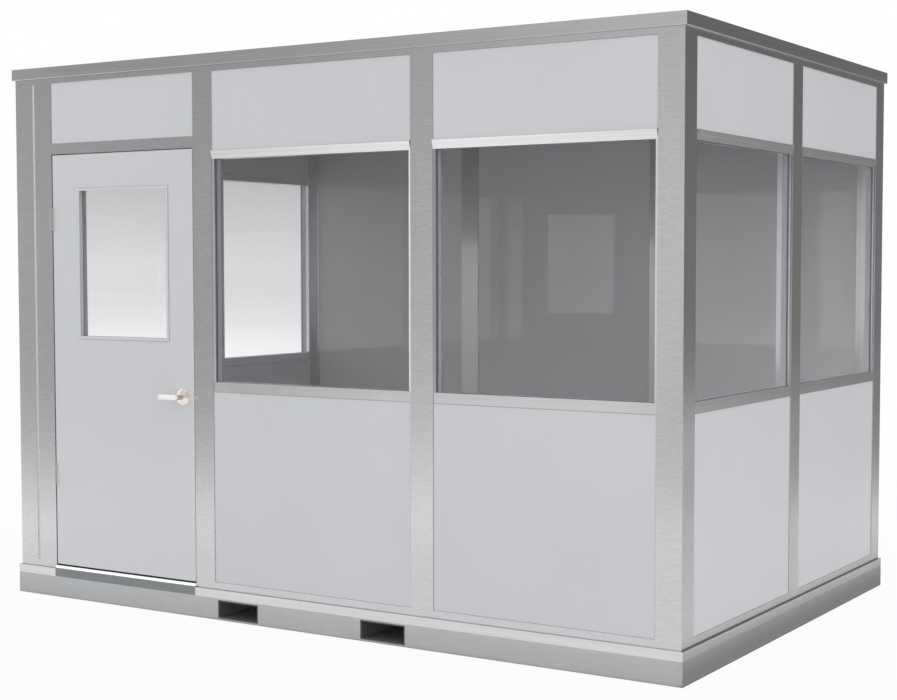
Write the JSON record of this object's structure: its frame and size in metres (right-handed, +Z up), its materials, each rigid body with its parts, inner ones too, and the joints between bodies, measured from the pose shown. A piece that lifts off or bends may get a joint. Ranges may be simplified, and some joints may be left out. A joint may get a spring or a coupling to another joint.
{
  "type": "modular office cabin",
  "caption": "Panelled office cabin on a steel base with fork pockets, extruded aluminium posts, fixed windows, and a hinged door with a glazed light and a lever handle.",
  "frame": {"origin": "middle of the plan of the walls, on the ground under the base frame", "axes": "+Z up, -Y out of the front wall that holds the door, +X to the right of a person facing the front"},
  "size_m": [3.683, 2.5111, 2.6339],
  "materials": {
    "wall_panel": "smooth light grey vinyl facing, satin",
    "roof_panel": "light grey faced panel, satin",
    "post": "clear anodised extrusion, satin",
    "fascia": "clear anodised extrusion, satin",
    "window_frame": "clear anodised extrusion, satin",
    "base_rail": "clear anodised angle, satin",
    "threshold": "mill finish extrusion",
    "base_steel": "grey paint, satin",
    "fork_tube": "grey paint, satin",
    "sill_plate": "dark grey paint, satin",
    "floor_deck": "plywood, sealed edges",
    "floor_finish": "grey vinyl floor covering",
    "glass": "clear float glass",
    "door_skin": "light grey skin over a light core, satin",
    "satin_nickel": "satin nickel plate"
  },
  "bodies": {
    "office": {"front_lower_panels": "wall_panel", "front_header_panels": "wall_panel", "door_filler_strip": "wall_panel", "right_lower_panels": "wall_panel", "right_header_panels": "wall_panel", "left_lower_panels": "wall_panel", "left_header_panels": "wall_panel", "back_panels": "wall_panel", "roof_panels": "roof_panel", "front_left_corner_post": "post", "front_right_corner_post": "post", "back_left_corner_post": "post", "back_right_corner_post": "post", "front_hinge_post": "post", "front_latch_post": "post", "front_window_posts": "post", "side_posts": "post", "back_posts": "post", "bottom_tracks": "post", "top_tracks": "post", "door_stops": "post", "front_fascia": "fascia", "back_fascia": "fascia", "side_fascias": "fascia", "front_window_frames": "window_frame", "right_window_frames": "window_frame", "left_window_frames": "window_frame", "door_head": "window_frame", "base_rails": "base_rail", "threshold": "threshold", "base_front_beam": "base_steel", "base_back_beam": "base_steel", "base_side_beams": "base_steel", "base_joists": "base_steel", "fork_pockets": "fork_tube", "door_sill_plate": "sill_plate", "floor_deck": "floor_deck", "floor_finish": "floor_finish", "front_window_glass": "glass", "right_window_glass": "glass", "left_window_glass": "glass", "frame_hinge_leaves": "satin_nickel"},
    "door": {"door_leaf": "door_skin", "door_glass": "glass", "door_glass_frame": "door_skin", "door_roses": "satin_nickel", "door_hinge_leaves": "satin_nickel"},
    "lever": {"door_lever": "satin_nickel"}
  },
  "joints": [
    {"name": "door_swing", "type": "hinge", "parent": "office", "child": "door", "pos_m": [-1.58225, -1.2287, 1.1], "axis": [0, 0, -1], "range_deg": [0, 175]},
    {"name": "lever_turn", "type": "hinge", "parent": "door", "child": "lever", "pos_m": [-0.7416, -1.2172, 1.036], "axis": [0, -1, 0], "range_deg": [0, 45], "stiffness_Nm_per_rad": 1.2, "springref_deg": -28.65}
  ]
}
